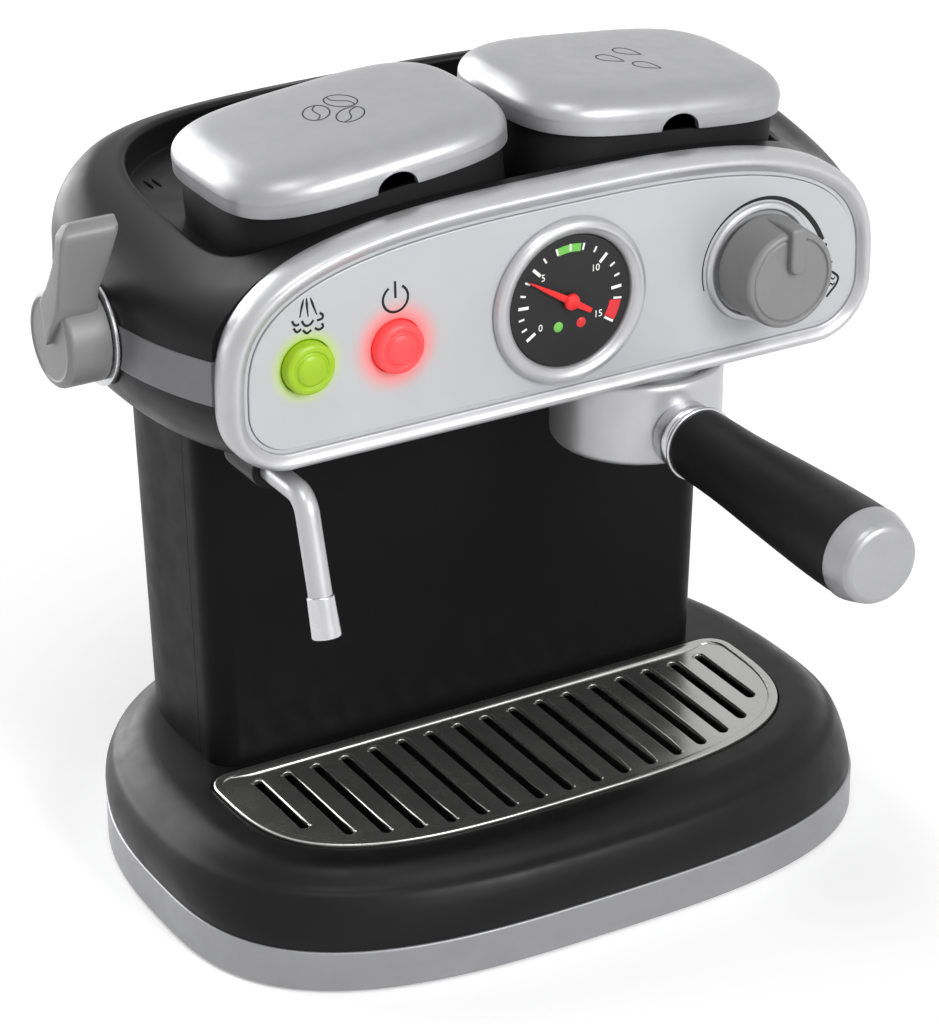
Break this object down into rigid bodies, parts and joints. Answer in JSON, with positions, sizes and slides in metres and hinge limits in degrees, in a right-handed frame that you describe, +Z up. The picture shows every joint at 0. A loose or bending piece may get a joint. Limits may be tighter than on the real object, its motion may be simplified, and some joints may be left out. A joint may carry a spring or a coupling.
{
  "type": "toy coffee maker",
  "caption": "Toy espresso machine with a rounded black base and head, silver control panel, gauge, knob, push buttons, side lever, steam wand, filter holder, drip grille and hinged hopper lids.",
  "frame": {"origin": "middle of the base plate's flat underside; the rubber feet reach 0.8 mm lower", "axes": "+Z up, the control panel faces -Y, +X to the right of a person who faces the panel"},
  "size_m": [0.2562, 0.2558, 0.2479],
  "materials": {
    "black_shell": "satin moulded black",
    "black_matte": "fine matt black",
    "silver_satin": "satin silver paint with fine flake",
    "silver_brushed": "brushed-look silver-grey",
    "grille_silver": "soft metallised silver",
    "panel_grey": "light grey with fine grain",
    "knob_grey": "matt mid-grey",
    "bright_chrome": "metallised, semi-bright",
    "dial_black": "printed black dial",
    "needle_red": "glossy red",
    "button_green": "translucent yellow-green",
    "button_red": "translucent coral red",
    "rubber_grey": "matt rubber",
    "white_plastic": "natural white plastic",
    "hose_clear": "milky silicone",
    "steel": "zinc-plated",
    "spring_steel": "bright spring wire",
    "cell_wrap": "plain wrapped cell",
    "contact_nickel": "nickel-plated",
    "board_green": "green laminate",
    "lamp_white": "diffuse lamp"
  },
  "bodies": {
    "housing": {"bottom_tray": "silver_brushed", "rubber_feet": "rubber_grey", "base_screws": "steel", "battery_box": "black_matte", "battery_cells": "cell_wrap", "battery_contacts": "contact_nickel", "speaker": "black_matte", "base_shell": "black_shell", "tower_front": "black_shell", "tower_rear": "black_shell", "tower_screws": "steel", "head_lower": "black_shell", "head_stripe": "silver_brushed", "head_upper": "black_shell", "panel_bezel": "silver_satin", "face_plate": "panel_grey", "gauge_ring": "silver_satin", "gauge_dial": "dial_black", "knob_seat": "panel_grey", "valve_body": "white_plastic", "water_hose": "hose_clear", "group_head": "silver_satin", "green_spring": "spring_steel", "red_spring": "spring_steel", "button_board": "board_green", "button_lamps": "lamp_white", "lever_bushing": "black_shell", "lever_washer": "bright_chrome", "bean_hopper": "black_matte", "water_tank": "black_matte", "lid_pins": "steel", "wand_socket": "black_shell"},
    "battery_cover": {"battery_door": "silver_brushed", "door_screw": "steel"},
    "tray": {"drip_tray": "black_matte"},
    "grille": {"drip_grille": "grille_silver"},
    "filter_holder": {"portafilter_bowl": "silver_satin", "handle_ferrule": "bright_chrome", "handle_grip": "black_matte", "handle_cap": "bright_chrome", "handle_screw": "steel"},
    "water_knob": {"front_knob": "knob_grey", "knob_shaft": "white_plastic"},
    "steam_lever": {"lever_knob": "knob_grey", "lever_shaft": "white_plastic"},
    "steam_wand": {"wand_tube": "bright_chrome", "wand_nozzle": "bright_chrome"},
    "green_push": {"green_button": "button_green"},
    "red_push": {"red_button": "button_red"},
    "pressure_needle": {"gauge_needle": "needle_red"},
    "left_lid": {"bean_lid": "silver_satin"},
    "right_lid": {"tank_lid": "silver_satin"}
  },
  "joints": [
    {"name": "battery_cover_lift", "type": "slide", "parent": "housing", "child": "battery_cover", "axis": [0, 0, -1], "range_m": [0, 0.03]},
    {"name": "tray_lift", "type": "slide", "parent": "housing", "child": "tray", "axis": [0, 0, 1], "range_m": [0, 0.03]},
    {"name": "grille_lift", "type": "slide", "parent": "tray", "child": "grille", "axis": [0, 0, 1], "range_m": [0, 0.03]},
    {"name": "filter_holder_turn", "type": "hinge", "parent": "housing", "child": "filter_holder", "pos_m": [0.0407, -0.033, 0.1512], "axis": [0, 0, 1], "range_deg": [-45, 0]},
    {"name": "water_knob_turn", "type": "hinge", "parent": "housing", "child": "water_knob", "pos_m": [0.067, -0.06, 0.1917], "axis": [0, 1, 0], "range_deg": [-60, 105]},
    {"name": "steam_lever_turn", "type": "hinge", "parent": "housing", "child": "steam_lever", "pos_m": [-0.122, 0.0026, 0.18795], "axis": [1, 0, 0], "range_deg": [0, 90]},
    {"name": "steam_wand_swing", "type": "hinge", "parent": "housing", "child": "steam_wand", "pos_m": [-0.0865, -0.04, 0.1537], "axis": [0, 1, 0], "range_deg": [-30, 30]},
    {"name": "green_push_press", "type": "slide", "parent": "housing", "child": "green_push", "axis": [0, 1, 0], "range_m": [0, 0.0025], "stiffness_N_per_m": 300, "springref_m": -0.001, "deforming": ["green_spring"]},
    {"name": "red_push_press", "type": "slide", "parent": "housing", "child": "red_push", "axis": [0, 1, 0], "range_m": [0, 0.0025], "stiffness_N_per_m": 300, "springref_m": -0.001, "deforming": ["red_spring"]},
    {"name": "pressure_needle_turn", "type": "hinge", "parent": "housing", "child": "pressure_needle", "pos_m": [0.0016, -0.058, 0.1933], "axis": [0, 1, 0], "range_deg": [-75, 190]},
    {"name": "left_lid_hinge", "type": "hinge", "parent": "housing", "child": "left_lid", "pos_m": [-0.04591, 0.0271, 0.22971], "axis": [-0.9952, 0, -0.0976], "range_deg": [0, 100]},
    {"name": "right_lid_hinge", "type": "hinge", "parent": "housing", "child": "right_lid", "pos_m": [0.04741, 0.0271, 0.22971], "axis": [-0.9952, 0, 0.0976], "range_deg": [0, 100]}
  ]
}
